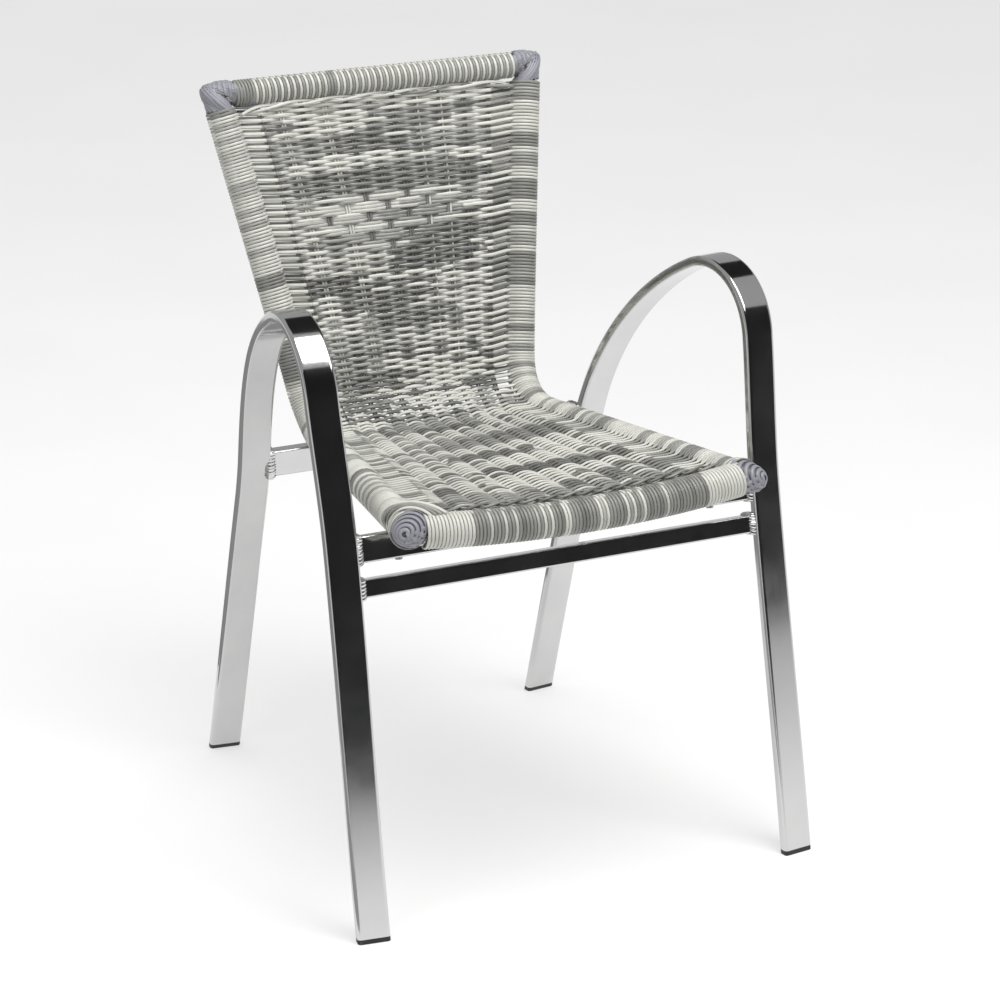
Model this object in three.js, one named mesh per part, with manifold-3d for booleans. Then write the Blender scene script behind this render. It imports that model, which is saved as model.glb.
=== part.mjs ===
import * as THREE from 'three';
import { mergeVertices } from 'three/addons/utils/BufferGeometryUtils.js';
import Module from 'manifold-3d';

// A stacking bistro armchair: two bent aluminium loops, three welded crossbars, and a woven seat and
// back on a frame of tubes that is wound with plastic cane. Millimetres, +Z up, the chair faces -Y,
// and +X is the sitter's left.

const wasm = await Module();
wasm.setup();

// Clearances, and how finely a bend is drawn
const seatGap = 0.3;
const overrun = 60;
const straightStep = 110;
const shortestStep = 1;
const arcSag = 0.28;
const cornerSteps = 1;
const ringSteps = 6;

// Loops: flat tube bent into front leg, armrest and rear leg
const loopWidth = 36;
const loopDepth = 11.5;
const loopWall = 1.6;
const loopCorner = 3.5;
const frontFootY = -273;
const frontLean = THREE.MathUtils.degToRad(12.4);
const frontLegLength = 574;
const handBendRadius = 81;
const handBendTurn = THREE.MathUtils.degToRad(103.8);
const rearSweepRadius = 344;
const rearSweepTurn = THREE.MathUtils.degToRad(47.5);
const loopToe = THREE.MathUtils.degToRad(7);
const footHalfSpread = 256;
const seatHalfSpread = 251.5;
const handHalfSpread = 257.5;
const rearHalfSpread = 209;
const rearFootHalfSpread = 207;
const handSpreadPast = 26;
const rearSpreadRise = 357;

// Foot plugs
const plugFlange = 5;
const plugInsert = 18;
const plugClearance = 0.4;

// Crossbars: rectangular tube. The front ones lean as the legs do, and the rear one stands upright.
const barWall = 1.5;
const barCorner = 1.5;
const frontBarDepth = 15;
const upperBarHeight = 28;
const upperBarMiddle = 402.6;
const lowerBarHeight = 19.2;
const frontBarGap = 17.5;
const frontBarSetBack = 5.2;
const rearBarHeight = 29;
const rearBarDepth = 16;
const rearBarSetBack = 1.1;
const weldSize = 3.5;
const weldLength = 5;

// Side rails: round tube bent into seat side and back upright. They lie on the front edge of the upper
// front bar, and with their bend on that of the rear bar.
const frontOverhang = 54.3;
const rearSupportTurn = THREE.MathUtils.degToRad(17.4);
const railBore = 12.4;
const railRadius = 14;
const seatSlope = THREE.MathUtils.degToRad(3.8);
const backRecline = THREE.MathUtils.degToRad(18);
const seatBendRadius = 70;
const uprightLength = 327;
const frontInset = 56.2;
const waistInset = 75.5;
const topHalfWidth = 191.7;
const waistBlend = 30;

// Front and top rails
const frontRailRadius = 15;
const frontRailBore = 13.4;
const frontRailBow = 11;
const frontRailSag = 8;
const topRailRadius = 12;
const topRailBore = 10.4;
const topRailRise = 5;

// Windings of cane round the rails
const sideWindRadius = 17.6;
const frontWindRadius = 19.1;
const topWindRadius = 15.3;
const sideStrand = 2;
const frontStrand = 2.9;
const topStrand = 2.3;
const windGap = 0.8;
const sideWindLoops = 18;
const railWindLoops = 20;
const windSteps = 10;

// Braided caps on the four corners
const frontCapRadius = 21;
const frontCapReach = 25;
const topCapRadius = 17.5;
const topCapReach = 20;

// Woven panels and the stakes that run from front to top under them
const panelThickness = 5;
const panelLift = 5.5;
const panelDish = 4;
const stakeCount = 11;
const stakeWidth = 9;
const stakeThickness = 4;

// Screws that hold the woven body on the crossbars
const screwRadius = 2;
const screwHole = 2.4;
const screwHeadRadius = 4;
const screwHeadHeight = 2.5;
const screwBite = 3;

function finish(color, metalness, roughness) {
  return new THREE.MeshStandardMaterial({ color, metalness, roughness });
}

const polished = finish(0xc8cbcd, 1, 0.2);
const satinTube = finish(0xa8abad, 1, 0.45);
const weldMetal = finish(0xb9bcbe, 1, 0.35);
const blackPlastic = finish(0x161617, 0, 0.55);
const paleCane = finish(0xcfcfc4, 0, 0.5);
const greyCane = finish(0x9b9b94, 0, 0.5);
const lilacCane = finish(0x94929f, 0, 0.45);
const screwSteel = finish(0x9a9c9e, 1, 0.35);

const chair = new THREE.Group();

// Solids: a geometry becomes a closed solid, is cut or joined, and comes back as a geometry
function closed(geometry) {
  const bare = geometry.clone();
  bare.deleteAttribute('normal');
  bare.deleteAttribute('uv');
  const merged = mergeVertices(bare);
  const index = merged.index.array;
  const at = merged.attributes.position;
  const [a, b, c] = [new THREE.Vector3(), new THREE.Vector3(), new THREE.Vector3()];
  let volume = 0;
  for (let i = 0; i < index.length; i += 3) {
    a.fromBufferAttribute(at, index[i]);
    b.fromBufferAttribute(at, index[i + 1]);
    c.fromBufferAttribute(at, index[i + 2]);
    volume += a.dot(b.cross(c));
  }
  if (volume < 0) {
    for (let i = 0; i < index.length; i += 3) {
      [index[i + 1], index[i + 2]] = [index[i + 2], index[i + 1]];
    }
  }
  return merged;
}

function solid(geometry) {
  const { index, attributes } = closed(geometry);
  const mesh = new wasm.Mesh({
    numProp: 3,
    vertProperties: new Float32Array(attributes.position.array),
    triVerts: new Uint32Array(index.array),
  });
  return new wasm.Manifold(mesh);
}

function geometryOf(body) {
  const mesh = body.getMesh();
  const geometry = new THREE.BufferGeometry();
  geometry.setAttribute('position', new THREE.BufferAttribute(mesh.vertProperties, 3));
  geometry.setIndex(new THREE.BufferAttribute(mesh.triVerts, 1));
  return geometry;
}

function cut(geometry, ...tools) {
  return geometryOf(tools.reduce((body, tool) => body.subtract(solid(tool)), solid(geometry)));
}

function between(geometry, bottom, top) {
  const span = 2 * loopPath.length;
  const slab = new THREE.BoxGeometry(span, span, top - bottom);
  slab.translate(0, 0, (bottom + top) / 2);
  return solid(geometry).intersect(solid(slab));
}

function add(name, geometry, material) {
  const mesh = new THREE.Mesh(geometry, material);
  mesh.name = name;
  chair.add(mesh);
}

function mirrored(geometry) {
  return closed(geometry.clone().scale(-1, 1, 1));
}

// Each piece that comes as a pair is made for the +X side and mirrored for the other
function addPair(name, geometry, material) {
  add(`left_${name}`, geometry, material);
  add(`right_${name}`, mirrored(geometry), material);
}

// A bent path in the side view: straights and arcs one after the other. A heading of zero is
// straight up, and a positive one leans to the rear.
class SidePath {
  constructor(y, z, heading, pieces) {
    this.stretches = [];
    let from = 0;
    for (const { length, radius, turn } of pieces) {
      const run = length ?? radius * Math.abs(turn);
      const bend = length === undefined ? turn / run : 0;
      this.stretches.push({ y, z, heading, from, run, bend });
      ({ y, z, heading } = SidePath.along(this.stretches.at(-1), run));
      from += run;
    }
    this.length = from;
  }

  static along({ y, z, heading, bend }, run) {
    const turned = heading + bend * run;
    if (bend === 0) {
      return { y: y + run * Math.sin(heading), z: z + run * Math.cos(heading), heading };
    }
    return {
      y: y + (Math.cos(heading) - Math.cos(turned)) / bend,
      z: z + (Math.sin(turned) - Math.sin(heading)) / bend,
      heading: turned,
    };
  }

  at(distance) {
    const stretch = this.stretches.findLast(({ from }) => distance >= from) ?? this.stretches[0];
    return SidePath.along(stretch, distance - stretch.from);
  }

  // Distances for a sweep: a straight takes few, and an arc an even number of short chords
  stations(from, to) {
    const marks = [from];
    for (const { from: start, run, bend } of this.stretches) {
      const step = bend === 0 ? straightStep : Math.sqrt((8 * arcSag) / Math.abs(bend));
      const count = 2 * Math.ceil(run / step / 2);
      for (let k = 0; k <= count; k += 1) {
        const mark = start + (run * k) / count;
        if (mark > marks.at(-1) + shortestStep && mark < to - shortestStep) marks.push(mark);
      }
    }
    marks.push(to);
    return marks;
  }
}

// A tube's centre line in space, with the direction of its section's width held level
class TubeLine extends THREE.Curve {
  constructor(path, spread, level, marks) {
    super();
    Object.assign(this, { path, spread, level, marks });
  }

  between(from, to) {
    return new TubeLine(this.path, this.spread, this.level, this.path.stations(from, to));
  }

  pointAt(distance) {
    const { y, z } = this.path.at(distance);
    return new THREE.Vector3(this.spread(distance), y, z);
  }

  // Along, across and through: the three directions of the section at a distance
  directions(distance) {
    const ahead = this.pointAt(distance + seatGap);
    const along = ahead.sub(this.pointAt(distance - seatGap)).normalize();
    const across = this.level.clone().addScaledVector(along, -along.dot(this.level)).normalize();
    const through = along.clone().cross(across);
    return { along, across, through };
  }

  place(distance, sideways, through) {
    const way = this.directions(distance);
    return this.pointAt(distance).addScaledVector(way.across, sideways).addScaledVector(way.through, through);
  }

  getSpacedPoints() {
    return this.marks.map((mark) => this.pointAt(mark));
  }

  computeFrenetFrames() {
    const ways = this.marks.map((mark) => this.directions(mark));
    return {
      tangents: ways.map(({ along }) => along),
      normals: ways.map(({ across }) => across),
      binormals: ways.map(({ through }) => through),
    };
  }
}

function sweep(section, line, curveSegments) {
  const steps = line.marks.length - 1;
  return new THREE.ExtrudeGeometry(section, { steps, extrudePath: line, curveSegments });
}

function roundedRectangle(width, height, corner, Kind = THREE.Shape) {
  const [x, y, quarter] = [width / 2 - corner, height / 2 - corner, Math.PI / 2];
  const outline = new Kind();
  outline.absarc(x, y, corner, 0, quarter);
  outline.absarc(-x, y, corner, quarter, 2 * quarter);
  outline.absarc(-x, -y, corner, 2 * quarter, 3 * quarter);
  outline.absarc(x, -y, corner, 3 * quarter, 4 * quarter);
  return outline;
}

function ring(outer, inner) {
  const section = new THREE.Shape().absarc(0, 0, outer, 0, 2 * Math.PI);
  if (inner) section.holes.push(new THREE.Path().absarc(0, 0, inner, 0, 2 * Math.PI));
  return section;
}

// A unit box whose corners are moved one by one bends into a strip, a slab or a winding
function bent(lengthSteps, widthSteps, move) {
  const box = new THREE.BoxGeometry(1, 1, 1, lengthSteps, widthSteps, 1);
  const at = box.attributes.position;
  for (let i = 0; i < at.count; i += 1) {
    const moved = move(at.getX(i) + 1 / 2, at.getY(i), at.getZ(i));
    at.setXYZ(i, moved.x, moved.y, moved.z);
  }
  return closed(box);
}

// Spread of a loop: its half distance from the middle, eased from one named place to the next
function easedSpread(places) {
  return (distance) => {
    const next = places.findIndex(({ at }) => distance < at);
    if (next === 0) return places[0].spread;
    if (next < 0) return places.at(-1).spread;
    const [a, b] = [places[next - 1], places[next]];
    return THREE.MathUtils.lerp(a.spread, b.spread, THREE.MathUtils.smoothstep(distance, a.at, b.at));
  };
}

// Loops
const rearHeading = frontLean + handBendTurn + rearSweepTurn;
const archEnd = new SidePath(frontFootY, 0, frontLean, [
  { length: frontLegLength },
  { radius: handBendRadius, turn: handBendTurn },
  { radius: rearSweepRadius, turn: rearSweepTurn },
]);
const rearLegLength = archEnd.at(archEnd.length).z / -Math.cos(rearHeading);
const loopPath = new SidePath(frontFootY, 0, frontLean, [
  { length: frontLegLength },
  { radius: handBendRadius, turn: handBendTurn },
  { radius: rearSweepRadius, turn: rearSweepTurn },
  { length: rearLegLength },
]);
const archAt = frontLegLength + handBendRadius * (Math.PI / 2 - frontLean);
const loopSpread = easedSpread([
  { at: 0, spread: footHalfSpread },
  { at: upperBarMiddle / Math.cos(frontLean), spread: seatHalfSpread },
  { at: frontLegLength + handSpreadPast, spread: handHalfSpread },
  { at: loopPath.length - rearSpreadRise, spread: rearHalfSpread },
  { at: loopPath.length, spread: rearFootHalfSpread },
]);
const loopLevel = new THREE.Vector3(Math.cos(loopToe), Math.sin(loopToe), 0);
const loopLine = new TubeLine(loopPath, loopSpread, loopLevel);

function loopSection(hollow) {
  const section = roundedRectangle(loopWidth, loopDepth, loopCorner);
  const inside = [loopWidth - 2 * loopWall, loopDepth - 2 * loopWall, loopCorner - loopWall];
  if (hollow) section.holes.push(roundedRectangle(...inside, THREE.Path));
  return section;
}

const loopFull = loopLine.between(-overrun, loopPath.length + overrun);
const loopBlank = sweep(loopSection(true), loopFull, cornerSteps);
addPair('loop', geometryOf(between(loopBlank, plugFlange + seatGap, loopPath.length)), polished);

// Foot plugs: a flange as wide as the tube and an insert that fills its bore
function footPlug(from, to) {
  const stretch = loopLine.between(from, to);
  const loss = 2 * (loopWall + plugClearance);
  const insert = roundedRectangle(loopWidth - loss, loopDepth - loss, loopCorner - loopWall);
  const flange = between(sweep(loopSection(false), stretch, cornerSteps), 0, plugFlange);
  const plug = between(sweep(insert, stretch, cornerSteps), plugFlange / 2, plugFlange + plugInsert);
  return geometryOf(flange.add(plug));
}

addPair('front_foot_plug', footPlug(-overrun, overrun), blackPlastic);
addPair('rear_foot_plug', footPlug(loopPath.length - overrun, loopPath.length + overrun), blackPlastic);

// Crossbars: each end is cut along the loop's inner side, and a weld bead closes the corner
function legAt(height, rear) {
  let [low, high] = [rear ? loopPath.length : 0, archAt];
  while (Math.abs(high - low) > seatGap / overrun) {
    const middle = (low + high) / 2;
    if (loopPath.at(middle).z < height) low = middle;
    else high = middle;
  }
  return { distance: low, y: loopPath.at(low).y };
}

function alongX(section, from, to) {
  const choice = { depth: to - from, bevelEnabled: false, curveSegments: cornerSteps };
  const bar = new THREE.ExtrudeGeometry(section, choice);
  bar.rotateY(Math.PI / 2);
  bar.rotateX(Math.PI / 2);
  return bar.translate(from, 0, 0);
}

function band(reach) {
  return sweep(roundedRectangle(loopWidth + 2 * reach, overrun, loopCorner), loopFull, cornerSteps);
}

const loopBand = band(seatGap);
const weldBand = band(seatGap + weldLength);

// A front bar lies behind the middle of its leg, and its height is measured along the leg
function frontBarAt(middle, height) {
  const leg = legAt(middle, false);
  const y = leg.y + frontBarSetBack * Math.cos(frontLean);
  const z = middle - frontBarSetBack * Math.sin(frontLean);
  return { y, z, height, depth: frontBarDepth, lean: frontLean, reach: loopSpread(leg.distance) };
}

function barLength({ y, z, lean }, section, from, to) {
  return alongX(section, from, to).rotateX(-lean).translate(0, y, z);
}

function aroundBar(bar) {
  const section = roundedRectangle(bar.depth + 2 * seatGap, bar.height + 2 * seatGap, barCorner + seatGap);
  return barLength(bar, section, -bar.reach, bar.reach);
}

function crossbar(name, bar, holes) {
  const { depth, height, reach } = bar;
  const section = roundedRectangle(depth, height, barCorner);
  const bore = [depth - 2 * barWall, height - 2 * barWall, barCorner / 2];
  section.holes.push(roundedRectangle(...bore, THREE.Path));
  const tube = barLength(bar, section, -reach, reach);
  add(name, cut(tube, loopBand, mirrored(loopBand), ...holes), satinTube);

  const bead = roundedRectangle(depth + 2 * weldSize, height + 2 * weldSize, weldSize);
  const inside = [depth + 2 * seatGap, height + 2 * seatGap, barCorner];
  bead.holes.push(roundedRectangle(...inside, THREE.Path));
  const collar = solid(barLength(bar, bead, 0, reach)).intersect(solid(weldBand));
  addPair(`${name}_weld`, geometryOf(collar.subtract(solid(loopBand))), weldMetal);
}

// Rail frame: side rails, front rail and top rail
const bendTurn = Math.PI / 2 + seatSlope - backRecline;
const [slopeY, slopeZ] = [Math.cos(seatSlope), -Math.sin(seatSlope)];
const railRest = railRadius + seatGap + barCorner;
const upperBar = frontBarAt(upperBarMiddle, upperBarHeight);
const barPitch = (upperBarHeight + lowerBarHeight) / 2 + frontBarGap;
const lowerBar = frontBarAt(upperBarMiddle - barPitch * Math.cos(frontLean), lowerBarHeight);
const [edgeUp, edgeAhead] = [upperBarHeight / 2 - barCorner, frontBarDepth / 2 - barCorner];
const edgeY = upperBar.y + edgeUp * Math.sin(frontLean) - edgeAhead * Math.cos(frontLean);
const edgeZ = upperBar.z + edgeUp * Math.cos(frontLean) + edgeAhead * Math.sin(frontLean);
const railFrontY = upperBar.y - frontOverhang;
const railFrontZ = edgeZ + (railRest + (railFrontY - edgeY) * slopeZ) / slopeY;

// The seat's side is as long as it takes for the bend to meet the rear bar, which is level with its leg
function rearBarUnder(length) {
  const swept = seatBendRadius + railRest;
  const back = length * slopeY - seatBendRadius * slopeZ + swept * Math.sin(rearSupportTurn);
  const up = length * slopeZ + seatBendRadius * slopeY - swept * Math.cos(rearSupportTurn);
  const y = railFrontY + back + rearBarDepth / 2 - barCorner;
  const z = railFrontZ + up - rearBarHeight / 2 + barCorner;
  const leg = legAt(z, true);
  const reach = loopSpread(leg.distance);
  return { y, z, height: rearBarHeight, depth: rearBarDepth, lean: 0, reach, legY: leg.y };
}

let seatSideLength = loopPath.at(loopPath.length).y - railFrontY;
for (let pass = 0; pass < windSteps; pass += 1) {
  const bar = rearBarUnder(seatSideLength);
  seatSideLength += bar.legY + rearBarSetBack - bar.y;
}
const rearBar = rearBarUnder(seatSideLength);
const frontHalfWidth = seatHalfSpread - frontInset;
const waistHalfWidth = rearHalfSpread - waistInset;

const railPath = new SidePath(railFrontY, railFrontZ, Math.PI / 2 + seatSlope, [
  { length: seatSideLength },
  { radius: seatBendRadius, turn: -bendTurn },
  { length: uprightLength },
]);
const waistAt = seatSideLength + (seatBendRadius * bendTurn) / 2;

function flare(distance, reach, halfWidth) {
  const soft = (d) => Math.hypot(d, waistBlend) - waistBlend;
  return waistHalfWidth + ((halfWidth - waistHalfWidth) * soft(distance)) / soft(reach);
}

function railSpread(distance) {
  const past = distance - waistAt;
  if (past < 0) return flare(past, waistAt, frontHalfWidth);
  return flare(past, railPath.length - waistAt, topHalfWidth);
}

const railLine = new TubeLine(railPath, railSpread, new THREE.Vector3(1, 0, 0));
const railTop = railPath.at(railPath.length);

function sideTube(outer, inner, from, to) {
  return sweep(ring(outer, inner), railLine.between(from, to), ringSteps);
}

// A rail across the chair, bowed forward and down by its middle, drawn as far as its reach
class CrossLine extends THREE.Curve {
  constructor(shape, reach = shape.halfWidth) {
    super();
    Object.assign(this, { shape, reach });
  }

  pointAt(x) {
    const { halfWidth, y, z, bow, sag } = this.shape;
    const middle = 1 - (x / halfWidth) ** 2;
    return new THREE.Vector3(x, y - bow * middle, z - sag * middle);
  }

  getPoint(share) {
    return this.pointAt((2 * share - 1) * this.reach);
  }

  place(x, up, back) {
    const along = this.pointAt(x + seatGap).sub(this.pointAt(x - seatGap)).normalize();
    const across = new THREE.Vector3(0, 0, 1).addScaledVector(along, -along.z).normalize();
    const through = along.clone().cross(across);
    return this.pointAt(x).addScaledVector(across, up).addScaledVector(through, back);
  }

  tube(outer, inner) {
    const { steps } = this.shape;
    const choice = { steps, extrudePath: this, curveSegments: ringSteps };
    return new THREE.ExtrudeGeometry(ring(outer, inner), choice);
  }
}

const frontShape = {
  halfWidth: frontHalfWidth,
  y: railFrontY,
  z: railFrontZ,
  bow: frontRailBow,
  sag: frontRailSag,
  steps: 8,
};
const topShape = {
  halfWidth: topHalfWidth,
  y: railTop.y,
  z: railTop.z + topRailRise,
  bow: 0,
  sag: 0,
  steps: 1,
};
const frontLine = new CrossLine(frontShape);
const topLine = new CrossLine(topShape);

function besideRails(tube) {
  const envelope = sideTube(railRadius + seatGap, 0, -overrun, railPath.length + overrun);
  return cut(tube, envelope, mirrored(envelope));
}

// Screws: through the middle of a crossbar and square to it, into the side rail above. A spot of the
// rail is seen from the bar: how far behind the bar's middle it is, and how far above.
function seenFrom({ y, z, lean }, distance) {
  const spot = railPath.at(distance);
  const [dy, dz] = [spot.y - y, spot.z - z];
  const behind = dy * Math.cos(lean) - dz * Math.sin(lean);
  return { behind, above: dy * Math.sin(lean) + dz * Math.cos(lean) };
}

function railAbove(bar) {
  let [low, high] = [0, waistAt];
  while (high - low > seatGap / overrun) {
    const middle = (low + high) / 2;
    if (seenFrom(bar, middle).behind < 0) low = middle;
    else high = middle;
  }
  return low;
}

function screwIn(name, bar) {
  const at = railAbove(bar);
  const tip = seenFrom(bar, at).above - railBore + screwBite;
  const under = -bar.height / 2 - seatGap;
  const rod = (radius, bottom, top) => {
    const round = new THREE.CylinderGeometry(radius, radius, top - bottom, 2 * ringSteps);
    round.rotateX(Math.PI / 2).translate(0, 0, (bottom + top) / 2);
    return round.rotateX(-bar.lean).translate(railSpread(at), bar.y, bar.z);
  };
  const shank = solid(rod(screwRadius, under - screwHeadHeight / 2, tip));
  const head = solid(rod(screwHeadRadius, under - screwHeadHeight, under));
  addPair(name, geometryOf(shank.add(head)), screwSteel);
  return rod(screwHole, under - overrun, tip + seatGap);
}

const frontHole = screwIn('front_screw', upperBar);
const rearHole = screwIn('rear_screw', rearBar);

crossbar('upper_front_bar', upperBar, [frontHole, mirrored(frontHole)]);
crossbar('lower_front_bar', lowerBar, []);
crossbar('rear_bar', rearBar, [rearHole, mirrored(rearHole)]);

const sideRail = sideTube(railRadius, railBore, 0, railPath.length);
addPair('side_rail', cut(sideRail, frontHole, rearHole), satinTube);
add('front_rail', besideRails(frontLine.tube(frontRailRadius, frontRailBore)), satinTube);
add('top_rail', besideRails(topLine.tube(topRailRadius, topRailBore)), satinTube);

// Windings: one flat strand a rail, wound from end to end, with its least gap to itself measured
function winding(line, { from, to, radius, strand, loops, widthSteps, label }) {
  const pitch = (to - from) / (loops + 1);
  const width = pitch - windGap;
  const spot = (share, across, depth) => {
    const distance = from + pitch / 2 + share * (to - from - pitch) + across * width;
    const angle = 2 * Math.PI * loops * share;
    const out = radius + (depth - 1 / 2) * strand;
    return line.place(distance, out * Math.cos(angle), out * Math.sin(angle));
  };
  const steps = loops * windSteps;
  let least = Infinity;
  for (let k = 0; k + windSteps <= steps; k += 1) {
    for (const depth of [-1 / 2, 1 / 2]) {
      const edge = spot(k / steps, 1 / 2, depth);
      least = Math.min(least, edge.distanceTo(spot((k + windSteps) / steps, -1 / 2, depth)));
    }
  }
  console.log(`${label}: least gap between its turns ${least.toFixed(2)} mm`);
  return bent(steps, widthSteps, spot);
}

const sideWindFrom = frontRailRadius + 4 * seatGap;
const sideWindTo = railPath.length - topRailRadius - 4 * seatGap;
const sideWind = winding(railLine, {
  from: sideWindFrom,
  to: sideWindTo,
  radius: sideWindRadius,
  strand: sideStrand,
  loops: sideWindLoops,
  widthSteps: 2,
  label: 'side winding',
});
const windReliefs = [frontHole, rearHole, aroundBar(upperBar), aroundBar(rearBar)];
addPair('side_winding', cut(sideWind, ...windReliefs), paleCane);

const frontWindEnd = frontHalfWidth - sideWindRadius - 2 * seatGap;
add('front_winding', winding(frontLine, {
  from: -frontWindEnd,
  to: frontWindEnd,
  radius: frontWindRadius,
  strand: frontStrand,
  loops: railWindLoops,
  widthSteps: 1,
  label: 'front winding',
}), greyCane);

const topWindEnd = topHalfWidth - sideWindRadius - 2 * seatGap;
add('top_winding', winding(topLine, {
  from: -topWindEnd,
  to: topWindEnd,
  radius: topWindRadius,
  strand: topStrand,
  loops: railWindLoops,
  widthSteps: 1,
  label: 'top winding',
}), paleCane);

// Corner caps: a braided dome over each joint of two rails, hollowed by what it covers
const wrapEnvelope = sideTube(sideWindRadius + seatGap, 0, sideWindFrom - seatGap, sideWindTo + seatGap);
const tubeEnvelope = sideTube(railRadius + seatGap, 0, -seatGap, railPath.length + seatGap);

function crossEnvelope(shape, radius, reach) {
  return new CrossLine(shape, reach + seatGap).tube(radius + seatGap, 0);
}

function cap(corner, outward, radius, reach, tools) {
  const dome = new THREE.SphereGeometry(radius, 2 * ringSteps, ringSteps);
  dome.scale(1, 1, reach / radius);
  const turn = new THREE.Quaternion().setFromUnitVectors(new THREE.Vector3(0, 0, 1), outward);
  dome.applyQuaternion(turn).translate(corner.x, corner.y, corner.z);
  const relief = new THREE.BoxGeometry(radius, radius, radius).translate(0, 0, -radius);
  relief.applyQuaternion(turn).translate(corner.x, corner.y, corner.z);
  return cut(dome, relief, ...tools);
}

const frontCorner = new THREE.Vector3(frontHalfWidth, railFrontY, railFrontZ);
const frontOutward = new THREE.Vector3(1, -1, 0).normalize();
addPair('front_cap', cap(frontCorner, frontOutward, frontCapRadius, frontCapReach, [
  wrapEnvelope,
  tubeEnvelope,
  crossEnvelope(frontShape, frontRailRadius, frontHalfWidth),
  crossEnvelope(frontShape, frontWindRadius, frontWindEnd),
]), lilacCane);

const topCorner = new THREE.Vector3(topHalfWidth, railTop.y, railTop.z + topRailRise / 2);
const topOutward = new THREE.Vector3(1, 0, 1).normalize();
addPair('top_cap', cap(topCorner, topOutward, topCapRadius, topCapReach, [
  wrapEnvelope,
  tubeEnvelope,
  crossEnvelope(topShape, topRailRadius, topHalfWidth),
  crossEnvelope(topShape, topWindRadius, topWindEnd),
]), lilacCane);

// Woven panels and stakes lie on one sheet that is drawn between the two side rails
const sheetHalfWidth = (distance) => railSpread(distance) - sideWindRadius;
const sheetFront = frontWindRadius + 2 * seatGap;
const sheetTop = railPath.length - topWindRadius - 2 * seatGap;

function onSheet(distance, side, behind) {
  const { y, z, heading } = railPath.at(distance);
  const back = behind - panelLift + panelDish * (1 - side * side);
  const x = side * sheetHalfWidth(distance);
  return new THREE.Vector3(x, y + back * Math.cos(heading), z - back * Math.sin(heading));
}

function frontEdge(side) {
  return sheetFront - frontRailBow * (1 - side * side);
}

// A strip of the sheet whose steps are the rail's own, so that the layers of the weave stay apart
function strip(from, to, widthSteps, spot) {
  const marks = railPath.stations(from ?? sheetFront, to);
  return bent(marks.length - 1, widthSteps, (share, across, depth) => {
    const number = Math.round(share * (marks.length - 1));
    const distance = (side) => (number === 0 && from === undefined ? frontEdge(side) : marks[number]);
    return spot(distance, across, depth);
  });
}

function panel(from, to) {
  return strip(from, to, 6, (distance, across, depth) => {
    const side = 2 * across;
    return onSheet(distance(side), side, depth * panelThickness);
  });
}

add('seat_weave', panel(undefined, waistAt - seatGap / 2), greyCane);
add('back_weave', panel(waistAt + seatGap / 2, sheetTop), paleCane);

function stake(number) {
  const side = (2 * (number + 1)) / (stakeCount + 1) - 1;
  const behind = (panelThickness + stakeThickness) / 2 + 2 * seatGap;
  return strip(undefined, sheetTop, 1, (distance, across, depth) => {
    const spot = onSheet(distance(side), side, behind + depth * stakeThickness);
    return spot.setX(spot.x + across * stakeWidth);
  });
}

for (let number = 0; number < stakeCount; number += 1) {
  add(`warp_stake_${number + 1}`, stake(number), greyCane);
}

// The frame's origin is on the floor, under the middle of the chair's box
const model = new THREE.Group();
model.add(chair);
const box = new THREE.Box3().setFromObject(chair);
chair.position.y = -(box.min.y + box.max.y) / 2;

export default model;
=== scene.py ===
import math

import bmesh
import bpy
import numpy as np
from mathutils import Matrix, Vector


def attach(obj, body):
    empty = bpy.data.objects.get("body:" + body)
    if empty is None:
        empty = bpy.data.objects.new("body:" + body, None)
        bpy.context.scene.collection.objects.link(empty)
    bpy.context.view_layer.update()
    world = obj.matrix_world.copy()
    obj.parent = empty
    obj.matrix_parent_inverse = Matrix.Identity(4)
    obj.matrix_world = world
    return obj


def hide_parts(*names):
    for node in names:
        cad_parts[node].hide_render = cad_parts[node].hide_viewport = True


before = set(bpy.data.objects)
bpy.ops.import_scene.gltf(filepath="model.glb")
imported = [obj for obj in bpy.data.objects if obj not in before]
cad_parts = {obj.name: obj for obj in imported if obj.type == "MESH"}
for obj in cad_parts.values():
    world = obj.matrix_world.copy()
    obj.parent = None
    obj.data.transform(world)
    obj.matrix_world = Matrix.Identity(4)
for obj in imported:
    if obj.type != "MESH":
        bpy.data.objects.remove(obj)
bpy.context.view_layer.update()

# The camera: a long lens on a tripod, to the chair's right front and a little above the back, so that
# the seat is seen from above and both loops are seen side by side.
sensor_width, zoom = 36, 3.58097
camera_spot = (-1.6380, -3.3520, 1.7131)
camera_data = bpy.data.cameras.new("studio_camera")
camera_data.sensor_width = sensor_width
camera_data.lens = sensor_width * zoom
camera_data.shift_x = 0.01422
camera_data.shift_y = -0.0048
camera = bpy.data.objects.new("studio_camera", camera_data)
yaw, pitch, roll = 0.457, -0.347, 0.008
looking = Vector((math.sin(yaw) * math.cos(pitch), math.cos(yaw) * math.cos(pitch), math.sin(pitch)))
level = Vector((math.cos(yaw), -math.sin(yaw), 0))
upward = level.cross(looking)
tilted = level * math.cos(roll) + upward * math.sin(roll)
upward = upward * math.cos(roll) - level * math.sin(roll)
turn = Matrix((tilted, upward, -looking)).transposed().to_4x4()
camera.matrix_world = Matrix.Translation(camera_spot) @ turn
bpy.context.scene.collection.objects.link(camera)
bpy.context.scene.camera = camera


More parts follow.
